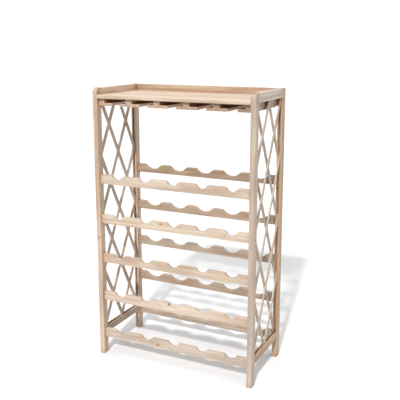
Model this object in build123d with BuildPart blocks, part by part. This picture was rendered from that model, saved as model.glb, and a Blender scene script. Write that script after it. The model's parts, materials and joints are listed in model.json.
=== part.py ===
"""Free-standing wooden wine rack with a tray top, lattice sides and stemware runners.

Frame: millimetres, +Z up, +X to the right and +Y to the back as a person sees the rack
from its front. The origin is the centre of the footprint, on the floor.
"""

import os
from build123d import *

os.makedirs("parts", exist_ok=True)

LEFT, RIGHT = -1, 1
FRONT, BACK = -1, 1
SIDE_NAMES = {LEFT: "left", RIGHT: "right"}
END_NAMES = {FRONT: "front", BACK: "back"}

# Overall size
width = 540.0
depth = 250.0
height = 880.0

# Corner posts
post_width = 16.0
post_depth = 25.0
post_nose_radius = 13.0
edge_softening = 1.5

# Side frames: a bottom and a top rail between each pair of posts
bottom_rail_z = 68.0
bottom_rail_height = 22.0
top_rail_height = 28.0

# Lattice: slats in two layers, their ends let into a groove that runs round the frame
slat_width = 13.0
slat_thickness = 3.0
slat_softening = 0.4
groove_depth = 6.0
groove_clearance = 0.2
slat_end_clearance = 0.5
diamonds_across = 2
diamonds_high = 4

# Bottle rails: a neck lies in the front rail, its body in the back one
levels = 5
first_level_z = 58.0
level_pitch = 130.0
bays = 5
bay_pitch = 97.5
rail_height = 29.0
rail_thickness = 13.0
rail_softening = 1.2
neck_rail_setback = 9.0
body_rail_setback = 3.0
neck_notch_radius = 20.0
neck_notch_depth = 13.0
neck_shoulder_radius = 9.0
body_notch_radius = 38.5
body_notch_depth = 15.5
body_shoulder_radius = 12.0

# Tray on top: a floor, and a back board that closes it and the runners below it
floor_thickness = 12.0
floor_top_z = 859.0
floor_edge_radius = 3.5
back_board_thickness = 12.0
back_board_bottom_z = 825.0

# Stemware runners under the tray: a stem with a wider flange below it
runner_setback = 10.0
runner_length = 200.0
runner_stem_width = 20.0
runner_stem_height = 13.0
flange_height = 9.0
flange_gap = 30.0
flange_corner_radius = 4.0
runner_softening = 1.0

# Fasteners: countersunk screws and plain dowels, in holes a little wider than they are
fit_clearance = 0.1
hole_end_clearance = 0.5
screw_length = 40.0
screw_radius = 2.0
screw_head_radius = 4.2
screw_tip_length = 6.0
runner_screw_length = 30.0
runner_screw_radius = 1.75
runner_screw_head_radius = 3.6
runner_screw_inset = 30.0
recess_width = 1.1
recess_depth = 1.3
dowel_radius = 2.5
dowel_length = 30.0
side_dowel_in_post = 15.0
rail_dowel_length = 25.0
rail_dowel_in_post = 10.0
dowel_chamfer = 0.5
screw_above_rail = 10.0
dowel_above_rail = 23.0
side_dowel_heights = (74.5, 869.0)
floor_screw_setback = 8.5
back_board_screw_z = 838.0
back_board_dowel_z = 858.0
floor_back_screw_x = 170.0

# Derived places
inner_x = width / 2 - post_width
outer_x = width / 2
panel_x = width / 2 - post_width / 2
panel_y = depth / 2 - post_depth
opening_bottom_z = bottom_rail_z + bottom_rail_height
opening_top_z = height - top_rail_height
opening_height = opening_top_z - opening_bottom_z
groove_width = 2 * slat_thickness + 2 * groove_clearance
neck_rail_y = -depth / 2 + neck_rail_setback + rail_thickness / 2
body_rail_y = depth / 2 - body_rail_setback - rail_thickness / 2
rail_y = {FRONT: neck_rail_y, BACK: body_rail_y}
level_z = [first_level_z + n * level_pitch for n in range(levels)]
bay_x = [(n - (bays - 1) / 2) * bay_pitch for n in range(bays)]
floor_bottom_z = floor_top_z - floor_thickness
floor_middle_z = floor_top_z - floor_thickness / 2
floor_back_y = depth / 2 - back_board_thickness
back_board_y = depth / 2 - back_board_thickness / 2
flange_top_z = floor_bottom_z - runner_stem_height
flange_bottom_z = flange_top_z - flange_height
runner_front_y = -depth / 2 + runner_setback
runner_back_y = runner_front_y + runner_length


def save(piece, name):
    """Label a finished piece and write it to a file of its own."""
    piece.part.label = name
    export_step(piece.part, f"parts/{name}.step")


# ------------------------------------------------------------ fastener places
# Each plane lies where a fastener crosses a joint or enters a face, its normal pointing out.


def side_plane(side, x, y, z):
    """A plane whose normal points to the left or the right."""
    return Plane(origin=(side * x, y, z), x_dir=(0, 1, 0), z_dir=(side, 0, 0))


def end_plane(end, x, y, z):
    """A plane whose normal points to the front or the back."""
    return Plane(origin=(x, end * y, z), x_dir=(1, 0, 0), z_dir=(0, end, 0))


def rail_screw_planes(side, end):
    """Heads of the screws that hold the bottle rails to one post."""
    return [side_plane(side, outer_x, rail_y[end], z + screw_above_rail) for z in level_z]


def rail_dowel_planes(side, end):
    """Joints between one post and the bottle rails, where their dowels cross."""
    return [side_plane(side, inner_x, rail_y[end], z + dowel_above_rail) for z in level_z]


def side_dowel_planes(side, end):
    """Joints between one post and its two side rails, where their dowels cross."""
    return [end_plane(end, side * panel_x, panel_y, z) for z in side_dowel_heights]


def floor_screw_plane(side):
    """Head of the screw through a front post into the end of the tray floor."""
    return side_plane(side, outer_x, -depth / 2 + floor_screw_setback, floor_middle_z)


def back_board_screw_plane(side):
    """Head of the screw through a back post into the end of the back board."""
    return side_plane(side, outer_x, back_board_y, back_board_screw_z)


def back_board_dowel_plane(side):
    """Joint between a back post and the back board, where its dowel crosses."""
    return side_plane(side, inner_x, back_board_y, back_board_dowel_z)


def floor_back_screw_planes():
    """Heads of the screws through the back board into the tray floor's back edge."""
    places = (-floor_back_screw_x, 0, floor_back_screw_x)
    return [end_plane(BACK, x, depth / 2, floor_middle_z) for x in places]


def runner_screw_planes(x):
    """Heads of the two screws that hold one runner up to the tray floor."""
    places = (runner_front_y + runner_screw_inset, runner_back_y - runner_screw_inset)
    return [Plane(origin=(x, y, flange_bottom_z), x_dir=(1, 0, 0), z_dir=(0, 0, -1)) for y in places]


def cut_screw_holes(planes, length=screw_length, radius=screw_radius, head=screw_head_radius):
    """Cut countersunk holes for screws whose heads lie flush in the given planes."""
    with Locations(*planes):
        CounterSinkHole(
            radius=radius + fit_clearance,
            counter_sink_radius=head + fit_clearance,
            depth=length + hole_end_clearance,
            counter_sink_angle=90,
        )


def cut_dowel_holes(planes, depth_into_wood):
    """Cut blind holes for dowels that cross the given joints."""
    with Locations(*planes):
        Hole(radius=dowel_radius + fit_clearance, depth=depth_into_wood + hole_end_clearance)


# ----------------------------------------------------------------- the frame


def make_post(side, end):
    """A corner post; the front ones have a rounded nose at the top."""
    nose_radius = post_nose_radius if end == FRONT else edge_softening
    with BuildPart() as post:
        with BuildSketch(Plane.YZ.offset(side * panel_x - post_width / 2)) as profile:
            with Locations((end * (depth - post_depth) / 2, height / 2)):
                Rectangle(post_depth, height)
            top_corners = profile.vertices().group_by(Axis.Y)[-1].sort_by(Axis.X)
            fillet(top_corners[0 if end == FRONT else -1], radius=nose_radius)
        extrude(amount=post_width)
        rims = post.faces().filter_by(Axis.X).edges()
        fillet(rims - rims.group_by(Axis.Z)[0], radius=edge_softening)
        with BuildSketch(Plane.XY.offset(opening_bottom_z - groove_depth)):
            with Locations((side * panel_x, end * (panel_y + groove_depth / 2))):
                Rectangle(groove_width, groove_depth)
        extrude(amount=opening_height + 2 * groove_depth, mode=Mode.SUBTRACT)
        cut_screw_holes(rail_screw_planes(side, end))
        cut_dowel_holes(rail_dowel_planes(side, end), rail_dowel_in_post)
        cut_dowel_holes(side_dowel_planes(side, end), side_dowel_in_post)
        if end == FRONT:
            cut_screw_holes([floor_screw_plane(side)])
        else:
            cut_screw_holes([back_board_screw_plane(side)])
            cut_dowel_holes([back_board_dowel_plane(side)], rail_dowel_in_post)
    return post


def make_side_rail(side, low_z, high_z, groove_z):
    """A rail between two posts, grooved along the edge that faces the lattice."""
    rail_dowels = [p for end in (FRONT, BACK) for p in side_dowel_planes(side, end)]
    with BuildPart() as rail:
        with BuildSketch(Plane.XY.offset(low_z)):
            with Locations((side * panel_x, 0)):
                Rectangle(post_width, 2 * panel_y)
        extrude(amount=high_z - low_z)
        fillet(rail.edges().filter_by(Axis.Y), radius=edge_softening)
        with BuildSketch(Plane.XY.offset(groove_z)):
            with Locations((side * panel_x, 0)):
                Rectangle(groove_width, 2 * panel_y)
        extrude(amount=groove_depth, mode=Mode.SUBTRACT)
        cut_dowel_holes(rail_dowels, dowel_length - side_dowel_in_post)
    return rail


def make_slat(side, climb, layer_x, middle_z):
    """A lattice slat; climb is 1 where it rises towards the back and -1 where it falls.

    middle_z is the height at which its centre line crosses the middle of the panel.
    """
    diamond_width = 2 * panel_y / diamonds_across
    diamond_height = opening_height / diamonds_high
    slope = Vector(diamond_width, climb * diamond_height)
    tilt = Vector(1, 0).get_signed_angle(slope, Vector(0, 0, 1))
    reach = groove_depth - slat_end_clearance
    with BuildPart() as slat:
        with BuildSketch(Plane.YZ.offset(side * layer_x - slat_thickness / 2)):
            with Locations(Location((0, middle_z), tilt)):
                Rectangle(2 * opening_height, slat_width)
            with Locations((0, (opening_bottom_z + opening_top_z) / 2)):
                Rectangle(2 * (panel_y + reach), opening_height + 2 * reach, mode=Mode.INTERSECT)
        extrude(amount=slat_thickness)
        long_edges = slat.edges().filter_by(Axis.X, reverse=True)
        fillet(long_edges.group_by(SortBy.LENGTH)[-1], radius=slat_softening)
    return slat


# ---------------------------------------------------------- the bottle rails


def make_bottle_rail(end, low_z, notch_radius, notch_depth, shoulder_radius):
    """A rail with a scallop at each bay, round in the hollow and at both shoulders."""
    back_y = rail_y[end] + rail_thickness / 2
    top_z = low_z + rail_height
    screws = [p for side in (LEFT, RIGHT) for p in rail_screw_planes(side, end)]
    dowels = [p for side in (LEFT, RIGHT) for p in rail_dowel_planes(side, end)]
    with BuildPart() as rail:
        with BuildSketch(Plane.XZ.offset(-back_y)) as outline:
            with Locations((0, low_z + rail_height / 2)):
                Rectangle(2 * inner_x, rail_height)
            with Locations(*[(x, top_z - notch_depth + notch_radius) for x in bay_x]):
                Circle(notch_radius, mode=Mode.SUBTRACT)
            shoulders = outline.vertices().group_by(Axis.Y)[-1].sort_by(Axis.X)[1:-1]
            fillet(shoulders, radius=shoulder_radius)
        extrude(amount=rail_thickness)
        rims = rail.faces().filter_by(Axis.Y).edges()
        fillet(rims.filter_by(Axis.Z, reverse=True), radius=rail_softening)
        cut_screw_holes(screws)
        cut_dowel_holes(dowels, rail_dowel_length - rail_dowel_in_post)
    return rail


# ------------------------------------------------------------------ the tray


def make_tray_floor():
    """The board between the side rails, its front edge rounded."""
    with BuildPart() as floor:
        with BuildSketch(Plane.YZ.offset(-inner_x)) as section:
            with Locations(((floor_back_y - depth / 2) / 2, floor_middle_z)):
                Rectangle(floor_back_y + depth / 2, floor_thickness)
            fillet(section.vertices().group_by(Axis.X)[0], radius=floor_edge_radius)
        extrude(amount=2 * inner_x)
        cut_screw_holes([floor_screw_plane(LEFT), floor_screw_plane(RIGHT)])
        cut_screw_holes(floor_back_screw_planes())
        for x in runner_stem_x:
            cut_screw_holes(
                runner_screw_planes(x),
                runner_screw_length,
                runner_screw_radius,
                runner_screw_head_radius,
            )
    return floor


def make_back_board():
    """The board behind the tray floor; it stands above the floor and hangs below it."""
    with BuildPart() as board:
        with BuildSketch(Plane.YZ.offset(-inner_x)) as section:
            with Locations((back_board_y, (back_board_bottom_z + height) / 2)):
                Rectangle(back_board_thickness, height - back_board_bottom_z)
            fillet(section.vertices(), radius=edge_softening)
        extrude(amount=2 * inner_x)
        cut_screw_holes([back_board_screw_plane(LEFT), back_board_screw_plane(RIGHT)])
        cut_screw_holes(floor_back_screw_planes())
        board_dowels = [back_board_dowel_plane(LEFT), back_board_dowel_plane(RIGHT)]
        cut_dowel_holes(board_dowels, rail_dowel_length - rail_dowel_in_post)
    return board


def make_runner(stem_x, flange_low_x, flange_high_x):
    """A runner that a glass foot slides on: a stem under the floor and a flange below it."""
    with BuildPart() as runner:
        with BuildSketch(Plane.XY.offset(flange_bottom_z)) as plan:
            with Locations(((flange_low_x + flange_high_x) / 2, (runner_front_y + runner_back_y) / 2)):
                Rectangle(flange_high_x - flange_low_x, runner_length)
            free_corners = plan.vertices().filter_by(lambda v: abs(v.X) < inner_x - 1)
            fillet(free_corners, radius=flange_corner_radius)
        extrude(amount=flange_height)
        rims = runner.faces().filter_by(Axis.Z).edges()
        free_rims = rims.filter_by(lambda e: abs(e.center().X) < inner_x - 1)
        fillet(free_rims, radius=runner_softening)
        with BuildSketch(Plane.XY.offset(flange_top_z)):
            with Locations((stem_x, (runner_front_y + runner_back_y) / 2)):
                Rectangle(runner_stem_width, runner_length)
        extrude(amount=runner_stem_height)
        cut_screw_holes(
            runner_screw_planes(stem_x),
            runner_screw_length,
            runner_screw_radius,
            runner_screw_head_radius,
        )
    return runner


# ------------------------------------------------------------- the fasteners


def make_screws(planes, length=screw_length, radius=screw_radius, head=screw_head_radius):
    """Countersunk wood screws with a cross recess, one at each plane."""
    with BuildPart() as screw:
        with BuildSketch(Plane.XZ):
            with BuildLine():
                Polyline(
                    (0, 0),
                    (head, 0),
                    (radius, radius - head),
                    (radius, screw_tip_length - length),
                    (0, -length),
                    close=True,
                )
            make_face()
        revolve(axis=Axis.Z)
        with BuildSketch(Plane.XY):
            Rectangle(head, recess_width)
            Rectangle(recess_width, head)
        extrude(amount=-recess_depth, mode=Mode.SUBTRACT)
    with BuildPart() as screws:
        with Locations(*planes):
            add(screw.part)
    return screws


def make_dowels(planes, length, length_in_post):
    """Round dowels with chamfered ends, one across each joint."""
    with BuildPart() as dowel:
        with BuildSketch(Plane.XY.offset(length_in_post - length)):
            Circle(dowel_radius)
        extrude(amount=length)
        chamfer(dowel.edges().filter_by(GeomType.CIRCLE), length=dowel_chamfer)
    with BuildPart() as dowels:
        with Locations(*planes):
            add(dowel.part)
    return dowels


# ------------------------------------------------------------ all the pieces

runner_pitch_x = [x + bay_pitch / 2 for x in bay_x[:-1]]
end_stem_x = inner_x - runner_stem_width / 2
runner_stem_x = [-end_stem_x] + runner_pitch_x + [end_stem_x]
flange_low_x = [-inner_x] + [x + flange_gap / 2 for x in bay_x]
flange_high_x = [x - flange_gap / 2 for x in bay_x] + [inner_x]

for side in (LEFT, RIGHT):
    side_name = SIDE_NAMES[side]
    for end in (FRONT, BACK):
        corner = f"{END_NAMES[end]}_{side_name}"
        save(make_post(side, end), f"post_{corner}")
        save(make_screws(rail_screw_planes(side, end)), f"rail_screws_{corner}")
        rail_dowels = make_dowels(
            rail_dowel_planes(side, end), rail_dowel_length, rail_dowel_in_post
        )
        save(rail_dowels, f"rail_dowels_{corner}")

    bottom_rail = make_side_rail(
        side, bottom_rail_z, opening_bottom_z, opening_bottom_z - groove_depth
    )
    save(bottom_rail, f"side_rail_bottom_{side_name}")
    save(make_side_rail(side, opening_top_z, height, opening_top_z), f"side_rail_top_{side_name}")

    # Slats of one direction cross the middle of the panel one diamond's height apart.
    slats_each_way = diamonds_high + 1
    for climb, layer_x, way in (
        (1, panel_x + slat_thickness / 2, "rising"),
        (-1, panel_x - slat_thickness / 2, "falling"),
    ):
        for n in range(slats_each_way):
            middle_z = opening_bottom_z + n * opening_height / diamonds_high
            save(make_slat(side, climb, layer_x, middle_z), f"slat_{side_name}_{way}_{n + 1}")

for n, z in enumerate(level_z, start=1):
    neck_rail = make_bottle_rail(
        FRONT, z, neck_notch_radius, neck_notch_depth, neck_shoulder_radius
    )
    save(neck_rail, f"neck_rail_{n}")
    body_rail = make_bottle_rail(
        BACK, z, body_notch_radius, body_notch_depth, body_shoulder_radius
    )
    save(body_rail, f"body_rail_{n}")

save(make_tray_floor(), "tray_floor")
save(make_back_board(), "back_board")
for n, stem_x in enumerate(runner_stem_x):
    save(make_runner(stem_x, flange_low_x[n], flange_high_x[n]), f"glass_runner_{n + 1}")

side_dowel_places = [
    p for side in (LEFT, RIGHT) for end in (FRONT, BACK) for p in side_dowel_planes(side, end)
]
save(make_dowels(side_dowel_places, dowel_length, side_dowel_in_post), "side_rail_dowels")
tray_screw_places = (
    [floor_screw_plane(side) for side in (LEFT, RIGHT)]
    + [back_board_screw_plane(side) for side in (LEFT, RIGHT)]
    + floor_back_screw_planes()
)
save(make_screws(tray_screw_places), "tray_screws")
board_dowel_places = [back_board_dowel_plane(side) for side in (LEFT, RIGHT)]
board_dowels = make_dowels(board_dowel_places, rail_dowel_length, rail_dowel_in_post)
save(board_dowels, "back_board_dowels")
runner_screw_places = [p for x in runner_stem_x for p in runner_screw_planes(x)]
runner_screws = make_screws(
    runner_screw_places, runner_screw_length, runner_screw_radius, runner_screw_head_radius
)
save(runner_screws, "runner_screws")
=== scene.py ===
"""Looks of the wooden wine rack: pale pine on every board, a white studio and one camera."""

import json
import math
import random
from collections import namedtuple

import bpy
from mathutils import Matrix, Vector


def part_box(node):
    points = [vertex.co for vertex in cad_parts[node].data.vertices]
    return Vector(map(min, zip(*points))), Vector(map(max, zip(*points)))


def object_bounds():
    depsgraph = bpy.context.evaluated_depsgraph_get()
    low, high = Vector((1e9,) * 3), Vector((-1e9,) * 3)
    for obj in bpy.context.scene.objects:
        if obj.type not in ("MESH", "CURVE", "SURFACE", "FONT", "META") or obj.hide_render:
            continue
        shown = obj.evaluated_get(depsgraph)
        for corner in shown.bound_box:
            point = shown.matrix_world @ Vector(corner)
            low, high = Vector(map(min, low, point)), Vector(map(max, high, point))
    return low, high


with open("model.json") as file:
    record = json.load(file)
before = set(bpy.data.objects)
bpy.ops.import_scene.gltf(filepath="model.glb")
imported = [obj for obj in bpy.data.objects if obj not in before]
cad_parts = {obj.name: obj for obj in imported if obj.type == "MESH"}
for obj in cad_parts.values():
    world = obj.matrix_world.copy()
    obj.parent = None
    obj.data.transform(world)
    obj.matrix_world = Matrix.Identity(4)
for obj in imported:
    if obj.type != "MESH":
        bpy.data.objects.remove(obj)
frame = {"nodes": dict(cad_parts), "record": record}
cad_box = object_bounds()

nodes = frame["nodes"]
rng = random.Random(20261117)

# ------------------------------------------------------------------ node helpers


class Graph:
    """Adds shader nodes to a tree. Each input is a plain value or another node's output."""

    def __init__(self, tree):
        self.tree = tree

    def add(self, kind, inputs=None, **settings):
        node = self.tree.nodes.new(kind)
        for name, value in settings.items():
            setattr(node, name, value)
        for key, value in (inputs or {}).items():
            self.feed(node.inputs[key], value)
        return node

    def feed(self, socket, value):
        if isinstance(value, bpy.types.NodeSocket):
            self.tree.links.new(value, socket)
        else:
            socket.default_value = value

    def math(self, operation, *values, clamp=False):
        node = self.add("ShaderNodeMath", operation=operation, use_clamp=clamp)
        for i, value in enumerate(values):
            self.feed(node.inputs[i], value)
        return node.outputs[0]

    def vector(self, operation, *values, scale=None):
        node = self.add("ShaderNodeVectorMath", operation=operation)
        for i, value in enumerate(values):
            self.feed(node.inputs[i], value)
        if scale is not None:
            self.feed(node.inputs["Scale"], scale)
        return node.outputs["Value" if operation in ("LENGTH", "DOT_PRODUCT") else "Vector"]

    def noise(self, place, per_metre, detail=2.0, roughness=0.5):
        """Noise with about this many features to the metre along each axis."""
        scaled = self.vector("MULTIPLY", place, per_metre)
        return self.add(
            "ShaderNodeTexNoise",
            {"Vector": scaled, "Scale": 1.0, "Detail": detail, "Roughness": roughness},
        )

    def sway(self, place, per_metre, detail, reach):
        """A noisy push across the grain, of up to half of reach in metres."""
        colour = self.noise(place, per_metre, detail).outputs["Color"]
        push = self.vector("SUBTRACT", colour, (0.5, 0.5, 0.5))
        return self.vector("MULTIPLY", push, (0.0, reach, reach))

    def ramp(self, value, low, high, to_low=0.0, to_high=1.0):
        """A smooth step from to_low at low to to_high at high."""
        return self.add(
            "ShaderNodeMapRange",
            {0: value, 1: low, 2: high, 3: to_low, 4: to_high},
            interpolation_type="SMOOTHSTEP",
        ).outputs[0]

    def mix(self, factor, a, b, blend="MIX"):
        node = self.add("ShaderNodeMix", data_type="RGBA", blend_type=blend)
        self.feed(node.inputs[0], factor)
        self.feed(node.inputs[6], a)
        self.feed(node.inputs[7], b)
        return node.outputs[2]

    def finish(self, shader, output_kind="ShaderNodeOutputMaterial"):
        """Sends a shader to the tree's output."""
        self.tree.links.new(shader.outputs[0], self.add(output_kind).inputs[0])


def new_group(name, inputs, outputs):
    """An empty shader group, with its graph and its input and output nodes."""
    tree = bpy.data.node_groups.new(name, "ShaderNodeTree")
    kinds = {"F": "NodeSocketFloat", "V": "NodeSocketVector", "C": "NodeSocketColor"}
    for label, kind in inputs:
        tree.interface.new_socket(label, in_out="INPUT", socket_type=kinds[kind])
    for label, kind in outputs:
        tree.interface.new_socket(label, in_out="OUTPUT", socket_type=kinds[kind])
    graph = Graph(tree)
    return tree, graph, graph.add("NodeGroupInput").outputs, graph.add("NodeGroupOutput").inputs


def new_material(name):
    """A material without nodes, and its graph."""
    material = bpy.data.materials.new(name)
    material.use_nodes = True
    material.node_tree.nodes.clear()
    return material, Graph(material.node_tree)


# ------------------------------------------------------------------ wood groups
# In these groups a place is in metres, X runs along the grain, and the pith is the line Y = Z = 0.


def make_knot_group():
    """A knot through the board: the grain bends round it, and its core is dark."""
    longer_along_grain = (0.66, 1.0, 1.0)
    raggedness = 0.55
    grain_pull, pull_falloff = 0.85, -0.16
    core_rim = (0.72, 1.08)
    halo_rim = (0.8, 2.4)
    ring_pace = 13.0

    tree, g, given, result = new_group(
        "knot",
        [("Place", "V"), ("Centre", "V"), ("Axis", "V"), ("Radius", "F"), ("Core", "F"), ("Halo", "F")],
        [("Place", "V"), ("Core", "F"), ("Halo", "F"), ("Rings", "F")],
    )
    away = g.vector("SUBTRACT", given["Place"], given["Centre"])
    along = g.vector("DOT_PRODUCT", away, given["Axis"])
    away = g.vector("SUBTRACT", away, g.vector("SCALE", given["Axis"], scale=along))
    flat = g.vector("LENGTH", g.vector("MULTIPLY", away, longer_along_grain))
    distance = g.math("DIVIDE", flat, given["Radius"])
    ragged = g.noise(given["Place"], (260.0, 260.0, 260.0)).outputs["Fac"]
    stray = g.math("MULTIPLY", g.math("SUBTRACT", ragged, 0.5), raggedness)
    distance = g.math("ADD", distance, stray)

    falloff = g.math("MULTIPLY", g.math("POWER", distance, 2.0), pull_falloff)
    pull = g.math("MULTIPLY", g.math("EXPONENT", falloff), grain_pull)
    shift = g.vector("SCALE", g.vector("MULTIPLY", away, (0.0, 1.0, 1.0)), scale=pull)
    g.feed(result["Place"], g.vector("SUBTRACT", given["Place"], shift))
    g.feed(result["Core"], g.math("MAXIMUM", given["Core"], g.ramp(distance, *core_rim, 1.0, 0.0)))
    g.feed(result["Halo"], g.math("MAXIMUM", given["Halo"], g.ramp(distance, *halo_rim, 1.0, 0.0)))
    waves = g.math("SINE", g.math("MULTIPLY", distance, ring_pace))
    g.feed(result["Rings"], g.math("MULTIPLY_ADD", waves, 0.5, 0.5))
    return tree


def make_pine_group():
    """Growth rings, tone streaks, fibres and resin flecks of planed pine."""
    pith_drift = 0.030
    ring_wander = 0.0022
    season_spread = 0.0065
    late_wood_sharpness = 2.4

    tree, g, given, result = new_group(
        "pine",
        [("Place", "V"), ("Ring Width", "F"), ("Contrast", "F"), ("Early", "C"), ("Late", "C"),
         ("Rosy", "C"), ("Straw", "C")],
        [("Color", "C"), ("Late Wood", "F"), ("Fibre", "F")],
    )
    place = given["Place"]

    # Rings: the pith drifts along the log, each ring wanders, and good and bad years alternate
    bent = g.vector("ADD", place, g.sway(place, (1.3, 7.0, 7.0), 1.0, pith_drift))
    bent = g.vector("ADD", bent, g.sway(place, (7.0, 60.0, 60.0), 2.0, ring_wander))
    radius = g.vector("LENGTH", g.vector("MULTIPLY", bent, (0.0, 1.0, 1.0)))
    seasons = g.add(
        "ShaderNodeTexNoise", {"W": g.math("MULTIPLY", radius, 70.0), "Scale": 1.0, "Detail": 1.0},
        noise_dimensions="1D",
    ).outputs["Fac"]
    radius = g.math("ADD", radius, g.math("MULTIPLY", seasons, season_spread))
    phase = g.math("DIVIDE", radius, given["Ring Width"])
    part = g.math("FRACT", phase)
    year = g.add("ShaderNodeTexWhiteNoise", {"W": g.math("FLOOR", phase)}, noise_dimensions="1D")
    rise = g.math("POWER", part, late_wood_sharpness)
    late = g.math("MULTIPLY", rise, g.ramp(part, 0.9, 1.0, 1.0, 0.0))
    late = g.math("MULTIPLY", late, g.math("MULTIPLY_ADD", year.outputs["Value"], 0.75, 0.45), clamp=True)

    # Colour: late wood in early wood, then rosy and straw streaks along the grain
    streak = g.noise(place, (4.0, 95.0, 95.0), 2.0, 0.55).outputs["Fac"]
    blotch = g.noise(place, (6.0, 34.0, 34.0), 2.0, 0.5).outputs["Fac"]
    color = g.mix(g.math("MULTIPLY", late, given["Contrast"], clamp=True), given["Early"], given["Late"])
    color = g.mix(g.ramp(streak, 0.46, 0.68, 0.0, 0.70), color, given["Rosy"])
    color = g.mix(g.ramp(streak, 0.50, 0.34, 0.0, 0.75), color, given["Straw"])
    color = g.mix(g.ramp(blotch, 0.40, 0.66, 0.0, 0.30), color, given["Rosy"], "MULTIPLY")

    # Lightness: bundles of fibres, single fibres and a few dark resin flecks
    strand = g.noise(place, (7.0, 340.0, 340.0), 3.0, 0.6).outputs["Fac"]
    fibre = g.noise(place, (30.0, 1500.0, 1500.0), 3.0, 0.65).outputs["Fac"]
    fleck = g.noise(place, (80.0, 1900.0, 1900.0), 1.0).outputs["Fac"]
    grey = g.ramp(strand, 0.30, 0.70, 0.90, 1.06)
    grey = g.math("MULTIPLY", grey, g.ramp(fibre, 0.28, 0.72, 0.94, 1.04))
    grey = g.math("MULTIPLY", grey, g.ramp(fleck, 0.70, 0.76, 1.0, 0.72))
    g.feed(result["Color"], g.vector("SCALE", color, scale=grey))
    g.feed(result["Late Wood"], late)
    g.feed(result["Fibre"], fibre)
    return tree


def make_strips_group():
    """Boards glued edge to edge along Y: each has its own place in the log and its own tone."""
    farthest_jump = (5.0, 0.09, 0.05)
    tree, g, given, result = new_group(
        "strips", [("Object", "V"), ("Place", "V"), ("Width", "F")],
        [("Place", "V"), ("Tone", "F"), ("Seam", "F")],
    )
    across = g.add("ShaderNodeSeparateXYZ", {0: given["Object"]}).outputs["Y"]
    place = g.math("DIVIDE", g.math("ADD", across, 1.0), given["Width"])
    strip = g.math("FLOOR", place)
    lot = g.add("ShaderNodeTexWhiteNoise", {"W": strip}, noise_dimensions="1D")
    jump = g.vector("MULTIPLY", lot.outputs["Color"], farthest_jump)
    g.feed(result["Place"], g.vector("ADD", given["Place"], jump))
    g.feed(result["Tone"], lot.outputs["Value"])
    edge = g.math("ABSOLUTE", g.math("SUBTRACT", g.math("FRACT", place), 0.5))
    g.feed(result["Seam"], g.ramp(edge, 0.488, 0.498))
    return tree


KNOT = make_knot_group()
PINE = make_pine_group()
STRIPS = make_strips_group()

# ------------------------------------------------------------------ colours and tones


def srgb(red, green, blue):
    """A linear colour with alpha from the 0 to 255 values that a screen shows."""
    def linear(c):
        c /= 255
        return c / 12.92 if c <= 0.04045 else ((c + 0.055) / 1.055) ** 2.4
    return (linear(red), linear(green), linear(blue), 1.0)


def tinted(color, gain, warmth):
    """The colour made lighter by gain, and more golden by warmth, or greyer where that is negative."""
    r, g, b, a = color
    return (r * gain, g * gain * (1 - 0.05 * warmth), b * gain * (1 - 0.12 * warmth), a)


PALETTE = {
    "Early": srgb(202, 186, 169),
    "Late": srgb(168, 137, 111),
    "Rosy": srgb(189, 161, 141),
    "Straw": srgb(205, 190, 169),
}
KNOT_DARK = srgb(112, 78, 56)
KNOT_MID = srgb(164, 124, 92)
HALO = srgb(184, 148, 116)
# Warm painted shade for the corners between pieces
PAINTED_CORNER_SHADE_TINT = srgb(210, 151, 90)
END_TINT = tinted(PALETTE["Late"], 1.05, 0)
# Paler edges: partly wear, partly a painted highlight
EDGE_WEAR_AND_HIGHLIGHT_TINT = tinted(PALETTE["Straw"], 1.18, 0)
SEAM_TINT = tinted(PALETTE["Late"], 0.7, 0)

# How each material slot differs, its ring width in metres
Look = namedtuple("Look", "tone warmth ring_width contrast roughness")
SLOT_LOOKS = {
    "frame_wood": Look(0.99, 0.6, 0.0032, 0.85, 0.56),
    "lattice_wood": Look(0.93, -0.4, 0.0027, 0.75, 0.60),
    "rail_wood": Look(0.97, 0.0, 0.0034, 0.80, 0.54),
    "tray_wood": Look(1.02, 0.4, 0.0036, 0.85, 0.50),
    "runner_wood": Look(1.12, 0.1, 0.0030, 0.80, 0.56),
    "dowel_wood": Look(0.92, 1.0, 0.0022, 0.50, 0.60),
}

# Pieces whose tone differs from the rest of their slot: partly a paler, darker, greyer or more golden
# board, and partly painted light and shade, as marked below: tone, warmth
TONES_AND_PAINTED_LIGHT = {
    "post_front_left": (0.97, 1.3),
    "post_front_right": (0.88, -0.8),
    # Darker and more golden: painted shade on the right back post
    "post_back_right": (0.82, 2.0),
    # Lighter: painted light on the left gallery's inner face
    "side_rail_top_left": (1.28, -0.3),
    "side_rail_top_right": (0.94, -1.0),
    # The lower side rails are darker: painted shade
    "side_rail_bottom_left": (0.74, 1.0),
    "side_rail_bottom_right": (0.80, 1.9),
    "back_board": (1.00, 1.3),
    "neck_rail_1": (0.92, -0.6),
    "neck_rail_2": (0.99, -0.6),
    "neck_rail_3": (0.88, 0.6),
    "neck_rail_4": (0.97, -0.3),
    "neck_rail_5": (0.95, 0.2),
    # The rear rails are darker: painted shadow
    "body_rail_1": (0.73, 0.0),
    "body_rail_2": (0.70, 0.9),
    "body_rail_3": (0.71, 0.8),
    "body_rail_4": (0.73, 0.8),
    "body_rail_5": (0.66, 1.7),
    # The glass runners' tones hold painted light and shade
    "glass_runner_1": (1.20, 0.1),
    "glass_runner_2": (1.28, 0.0),
    "glass_runner_3": (1.22, 0.1),
    "glass_runner_4": (1.08, 0.1),
    "glass_runner_5": (0.95, 0.3),
    "glass_runner_6": (0.86, 0.6),
}
# The right lattice's inner layer, the falling slats, is darker than its outer layer, as painted shade
for name in nodes:
    if name.startswith("slat_right"):
        TONES_AND_PAINTED_LIGHT[name] = (0.88, -0.4) if "rising" in name else (0.76, 0.1)

# Between which values a piece's random factor on tone and its random share of warmth lie
TONE_FACTORS = (0.90, 0.985)
WARMTH_SHARES = (-0.5, 0.5)

# Where in its log a piece was cut: metres from the pith, and metres along the trunk
PITH_DISTANCE = (0.025, 0.09)
TRUNK_STRETCH = (1.0, 12.0)

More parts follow.
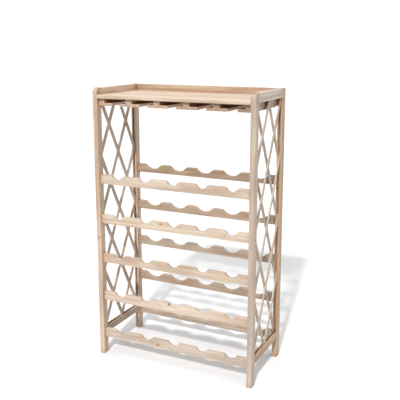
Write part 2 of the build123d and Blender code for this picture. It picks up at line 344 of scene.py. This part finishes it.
# Lengths in metres, and strengths from 0 to 1
STRIP_WIDTH = 0.052
STRIP_TONE_SPREAD, STRIP_TONE_LEAST = 0.16, 0.91
SEAM_STRENGTH = 0.45
HALO_STRENGTH = 0.55
END_STRENGTH = 0.55
EDGE_WIDTH = 0.0022
# Paler edges: partly wear, partly a painted highlight
EDGE_WEAR_AND_HIGHLIGHT_STRENGTH = 0.52
# Painted shade in the corners between pieces
CORNER_SHADE_REACH = 0.034
CORNER_SHADE_STRENGTH = 0.80
GRAIN_RELIEF = 0.00022

# ------------------------------------------------------------------ wood material


def middle_of(name):
    low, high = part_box(name)
    return (low + high) / 2


def colors_with_painted_light(name, slot):
    """The palette in one piece's tone: its board's own tone, with painted light and shade on some pieces.
    """
    look = SLOT_LOOKS[slot]
    tone, warmth = TONES_AND_PAINTED_LIGHT.get(name, (look.tone, look.warmth))
    gain = tone * rng.uniform(*TONE_FACTORS)
    warmth += rng.uniform(*WARMTH_SHARES)
    return {key: tinted(color, gain, warmth) for key, color in PALETTE.items()}


def place_in_log(g, coords, name, turn):
    """The piece's own place in its own log, and the move that takes the piece there."""
    angle = rng.uniform(0, 2 * math.pi)
    pith = rng.uniform(*PITH_DISTANCE)
    centre = turn @ middle_of(name)
    move = Vector((
        rng.uniform(*TRUNK_STRETCH) - centre.x,
        pith * math.cos(angle) - centre.y,
        pith * math.sin(angle) - centre.z,
    ))
    mapping = g.add(
        "ShaderNodeMapping", {"Vector": coords["Object"], "Rotation": turn.to_euler(), "Location": move}
    )
    return mapping.outputs[0], move


def add_strips(g, coords, place, width):
    """The place in each glued strip's own log, with the masks of their tones and seams."""
    strips = g.add("ShaderNodeGroup", {"Object": coords["Object"], "Place": place, "Width": width},
                   node_tree=STRIPS)
    return strips.outputs


def add_knots(g, place, knots, turn, move):
    """The place bent round each knot, with the masks of the cores, the halos and the cores' rings."""
    core = halo = rings = None
    for point, axis, radius in knots:
        knot = g.add("ShaderNodeGroup", node_tree=KNOT)
        g.feed(knot.inputs["Place"], place)
        g.feed(knot.inputs["Centre"], turn @ Vector(point) + move)
        g.feed(knot.inputs["Axis"], turn @ Vector(axis))
        g.feed(knot.inputs["Radius"], radius)
        if core is not None:
            g.feed(knot.inputs["Core"], core)
            g.feed(knot.inputs["Halo"], halo)
        place, core, halo, rings = knot.outputs
    return place, core, halo, rings


def add_wear_and_painted_light(g, color, coords, end):
    """End grain drinks light, eased edges are paler, partly as wear and partly as a painted highlight,
    and corners between pieces get painted shade.
    """
    color = g.mix(g.math("MULTIPLY", end, END_STRENGTH), color, END_TINT, "MULTIPLY")
    # Eased edges are paler: partly wear, partly a painted highlight along the edges
    bevel = g.add("ShaderNodeBevel", {"Radius": EDGE_WIDTH}, samples=4).outputs[0]
    flat = g.vector("DOT_PRODUCT", bevel, g.add("ShaderNodeNewGeometry").outputs["Normal"])
    scuff = g.noise(coords["Object"], (90.0, 90.0, 90.0), 3.0).outputs["Fac"]
    edge = g.math("MULTIPLY", g.ramp(flat, 0.985, 0.90), g.ramp(scuff, 0.30, 0.65, 0.25, 1.0))
    color = g.mix(g.math("MULTIPLY", edge, EDGE_WEAR_AND_HIGHLIGHT_STRENGTH), color, EDGE_WEAR_AND_HIGHLIGHT_TINT)
    # Painted shade: corners between pieces are darkened, with a golden tint, where ambient occlusion
    # finds them sheltered
    shade_occlusion = g.add("ShaderNodeAmbientOcclusion", {"Distance": CORNER_SHADE_REACH}, samples=4).outputs["AO"]
    corner = g.ramp(shade_occlusion, 0.85, 0.20)
    return g.mix(g.math("MULTIPLY", corner, CORNER_SHADE_STRENGTH), color, PAINTED_CORNER_SHADE_TINT, "MULTIPLY")


def add_surface(g, color, late, fibre, end, roughness):
    """Satin wood: late wood is smoother and stands up, fibres and end grain are rougher."""
    rough = g.math("MULTIPLY_ADD", late, -0.08, roughness)
    rough = g.math("ADD", rough, g.math("MULTIPLY", g.math("SUBTRACT", fibre, 0.5), 0.14))
    rough = g.math("ADD", rough, g.math("MULTIPLY", end, 0.18), clamp=True)
    height = g.math("MULTIPLY_ADD", late, 0.55, g.math("MULTIPLY", fibre, 0.8))
    bump = g.add("ShaderNodeBump", {"Height": height, "Strength": 0.45, "Distance": GRAIN_RELIEF})
    shader = g.add(
        "ShaderNodeBsdfPrincipled", {"Base Color": color, "Roughness": rough, "Normal": bump.outputs[0]}
    )
    shader.inputs["Specular IOR Level"].default_value = 0.45
    g.finish(shader)


def wood_material(name, slot, grain, across, knots):
    """Pine for one piece. grain and across are unit vectors; knots are (point, axis, radius)."""
    look = SLOT_LOOKS[slot]
    colors = colors_with_painted_light(name, slot)
    material, g = new_material(f"{name}_wood")
    coords = g.add("ShaderNodeTexCoord").outputs
    turn = Matrix((grain, across, grain.cross(across)))
    place, move = place_in_log(g, coords, name, turn)
    in_strips = name == "tray_floor"
    if in_strips:
        place, strip_tone, seam = add_strips(g, coords, place, STRIP_WIDTH)
    place, core, halo, rings = add_knots(g, place, knots, turn, move)
    pine = g.add(
        "ShaderNodeGroup",
        {"Place": place, "Ring Width": look.ring_width, "Contrast": look.contrast, **colors},
        node_tree=PINE,
    )
    color, late, fibre = pine.outputs

    if in_strips:
        tone = g.math("MULTIPLY_ADD", strip_tone, STRIP_TONE_SPREAD, STRIP_TONE_LEAST)
        color = g.vector("SCALE", color, scale=tone)
        color = g.mix(g.math("MULTIPLY", seam, SEAM_STRENGTH), color, SEAM_TINT)
    if knots:
        color = g.mix(g.math("MULTIPLY", halo, HALO_STRENGTH), color, HALO)
        color = g.mix(core, color, g.mix(rings, KNOT_DARK, KNOT_MID))

    facing = g.math("ABSOLUTE", g.vector("DOT_PRODUCT", coords["Normal"], tuple(grain)))
    end = g.ramp(facing, 0.70, 0.97)
    color = add_wear_and_painted_light(g, color, coords, end)
    add_surface(g, color, late, fibre, end, look.roughness)
    return material


# ------------------------------------------------------------------ screws' steel


def steel_material():
    """Zinc-plated steel: a little cloudy, and darkened in the recess by painted shade."""
    recess_shade_reach = 0.0016
    plating_relief = 0.00005
    material, g = new_material("screw_steel")
    place = g.add("ShaderNodeTexCoord").outputs["Object"]
    cloud = g.noise(place, (700.0, 700.0, 700.0), 4.0, 0.6).outputs["Fac"]
    color = g.mix(g.ramp(cloud, 0.3, 0.7), srgb(128, 122, 112), srgb(172, 168, 158))
    # Painted shade: the recess is darkened where ambient occlusion finds it sheltered
    shade_occlusion = g.add("ShaderNodeAmbientOcclusion", {"Distance": recess_shade_reach}, samples=4).outputs["AO"]
    color = g.mix(g.ramp(shade_occlusion, 0.8, 0.3, 0.0, 0.8), color, srgb(46, 42, 38))
    rough = g.ramp(cloud, 0.25, 0.75, 0.28, 0.48)
    bump = g.add("ShaderNodeBump", {"Height": cloud, "Strength": 0.2, "Distance": plating_relief})
    shader = g.add(
        "ShaderNodeBsdfPrincipled", {"Base Color": color, "Roughness": rough, "Normal": bump.outputs[0]}
    )
    shader.inputs["Metallic"].default_value = 1.0
    g.finish(shader)
    return material


# ------------------------------------------------------------------ grain and knots of each piece

X, Y, Z = Vector((1, 0, 0)), Vector((0, 1, 0)), Vector((0, 0, 1))
DIAMONDS_ACROSS, DIAMONDS_HIGH = 2, 4
low_rail, high_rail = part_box("side_rail_bottom_left"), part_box("side_rail_top_left")
lattice_run = (low_rail[1].y - low_rail[0].y) / DIAMONDS_ACROSS
lattice_rise = (high_rail[0].z - low_rail[1].z) / DIAMONDS_HIGH


def grain_of(name):
    """The direction of the grain, and one direction across it."""
    if name.startswith("post"):
        return Z, X
    if name.startswith("slat"):
        climb = 1 if "rising" in name else -1
        along = Vector((0, lattice_run, climb * lattice_rise)).normalized()
        return along, X
    if name.startswith(("side_rail", "glass_runner")):
        return Y, X
    return X, Y


# Knots that show on the front, by piece. Each is along the grain and across it from the piece's
# middle, then its radius, in metres. Across is up on a rail and to the left on a post.
SEEN_KNOTS = {
    "neck_rail_1": [(-0.055, -0.004, 0.0036), (-0.128, 0.006, 0.0016)],
    "neck_rail_2": [(-0.014, 0.010, 0.0028)],
    "neck_rail_4": [(-0.040, 0.0085, 0.0032), (0.174, -0.001, 0.0020)],
    "post_front_left": [(-0.038, -0.001, 0.0030)],
}
KNOT_COUNTS = (0, 0, 0, 1, 1)
KNOT_RADII = (0.0012, 0.0026)
KNOT_REACH_ALONG, KNOT_REACH_ASIDE = 0.42, 0.30


def axis_of_knots(name):
    """The direction in which knots go through the board."""
    if name.startswith("side_rail"):
        return X
    if name.startswith(("neck_rail", "body_rail", "back_board", "post")):
        return Y
    return Z


def drawn_knots(name, grain, across):
    """Up to one knot at random, along and across from the middle, then its radius."""
    low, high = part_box(name)
    length = abs((high - low).dot(grain))
    width = abs((high - low).dot(Vector(map(abs, across))))
    drawn = []
    for _ in range(rng.choice(KNOT_COUNTS)):
        along = rng.uniform(-KNOT_REACH_ALONG, KNOT_REACH_ALONG) * length
        aside = rng.uniform(-KNOT_REACH_ASIDE, KNOT_REACH_ASIDE) * width
        drawn.append((along, aside, rng.uniform(*KNOT_RADII)))
    return drawn


def knots_of(name, grain):
    """The knots of a piece, each with its point, its axis through the board and its radius."""
    if name.startswith("slat") or "dowels" in name:
        return []
    through = axis_of_knots(name)
    across = grain.cross(through)
    places = SEEN_KNOTS.get(name) or drawn_knots(name, grain, across)
    centre = middle_of(name)
    return [(centre + grain * along + across * aside, through, radius) for along, aside, radius in places]


slot_of = {s["node"]: s["material_slot"] for s in frame["record"]["subparts"]}
steel = steel_material()
for name in sorted(nodes):
    slot = slot_of[name]
    if slot == "screw_steel":
        made = steel
    else:
        grain, across = grain_of(name)
        made = wood_material(name, slot, grain, across, knots_of(name, grain))
    nodes[name].data.materials.clear()
    nodes[name].data.materials.append(made)

# ------------------------------------------------------------------ studio

FLOOR_RADIUS = 30.0
FLOOR_SIDES = 96
WHITE = (1.0, 1.0, 1.0, 1.0)

# The surround's light: the direction of its middle, its strength, and how narrow it is
SURROUND = ((0.0, 0.0, 1.0), 2.45, 3.0)

# The lamps: the direction each shines from, its strength, and its spread in degrees
LAMPS = {
    "key": ((0.23, -1.16, 1.0), 3.35, 3.0),
    "side_fill": ((1.0, -0.1, 0.35), 0.55, 60.0),
    "back_fill": ((-0.5, 1.0, 0.2), 0.80, 60.0),
}


def make_floor():
    """A wide, plain, pale floor under the feet."""
    bpy.ops.mesh.primitive_circle_add(
        vertices=FLOOR_SIDES, radius=FLOOR_RADIUS, fill_type="TRIFAN", location=(0, 0, cad_box[0].z)
    )
    floor = bpy.context.object
    floor.name = "studio_floor"
    material, g = new_material("studio_floor")
    place = g.add("ShaderNodeTexCoord").outputs["Object"]
    paper = g.noise(place, (3.0, 3.0, 3.0), 3.0).outputs["Fac"]
    color = g.mix(g.ramp(paper, 0.3, 0.7), srgb(207, 207, 208), srgb(210, 210, 210))
    shader = g.add("ShaderNodeBsdfPrincipled", {"Base Color": color})
    shader.inputs["Roughness"].default_value = 0.75
    shader.inputs["Emission Strength"].default_value = 0.05
    shader.inputs["Specular IOR Level"].default_value = 0.15
    g.finish(shader)
    floor.data.materials.append(material)


def distant_light(name, towards, strength, spread):
    """Parallel light that comes from a direction, its shadows softened by its spread in degrees."""
    data = bpy.data.lights.new(name, "SUN")
    data.energy = strength
    data.angle = math.radians(spread)
    light = bpy.data.objects.new(name, data)
    bpy.context.scene.collection.objects.link(light)
    light.rotation_euler = Vector(towards).to_track_quat("Z", "Y").to_euler()


def make_world(towards, strength, focus):
    """A white surround whose light comes from a broad lobe about one direction."""
    world = bpy.data.worlds.new("studio")
    bpy.context.scene.world = world
    world.use_nodes = True
    world.node_tree.nodes.clear()
    g = Graph(world.node_tree)
    away = g.add("ShaderNodeTexCoord").outputs["Generated"]
    lobe = g.vector("DOT_PRODUCT", away, tuple(Vector(towards).normalized()))
    lobe = g.math("MULTIPLY", g.math("POWER", g.math("MAXIMUM", lobe, 0.0), focus), strength)
    lit = g.add("ShaderNodeBackground", {"Color": WHITE, "Strength": lobe})
    seen = g.add("ShaderNodeBackground", {"Color": WHITE, "Strength": 1.0})
    camera_ray = g.add("ShaderNodeLightPath").outputs["Is Camera Ray"]
    both = g.add("ShaderNodeMixShader", {0: camera_ray, 1: lit.outputs[0], 2: seen.outputs[0]})
    g.finish(both, "ShaderNodeOutputWorld")


make_floor()
make_world(*SURROUND)
for lamp, (towards, strength, spread) in LAMPS.items():
    distant_light(lamp, towards, strength, spread)

# ------------------------------------------------------------------ camera

CAMERA_PLACE = (0.9207, -1.8122, 1.0150)
CAMERA_YAW, CAMERA_PITCH = math.radians(25.95), math.radians(-11.78)

camera_data = bpy.data.cameras.new("camera")
camera_data.sensor_width = 36.0
camera_data.lens = 59.17
camera_data.shift_y = -0.05
camera = bpy.data.objects.new("camera", camera_data)
bpy.context.scene.collection.objects.link(camera)
camera.location = CAMERA_PLACE
camera.rotation_euler = (math.pi / 2 + CAMERA_PITCH, 0.0, CAMERA_YAW)
bpy.context.scene.camera = camera
bpy.context.scene.view_settings.view_transform = "Standard"
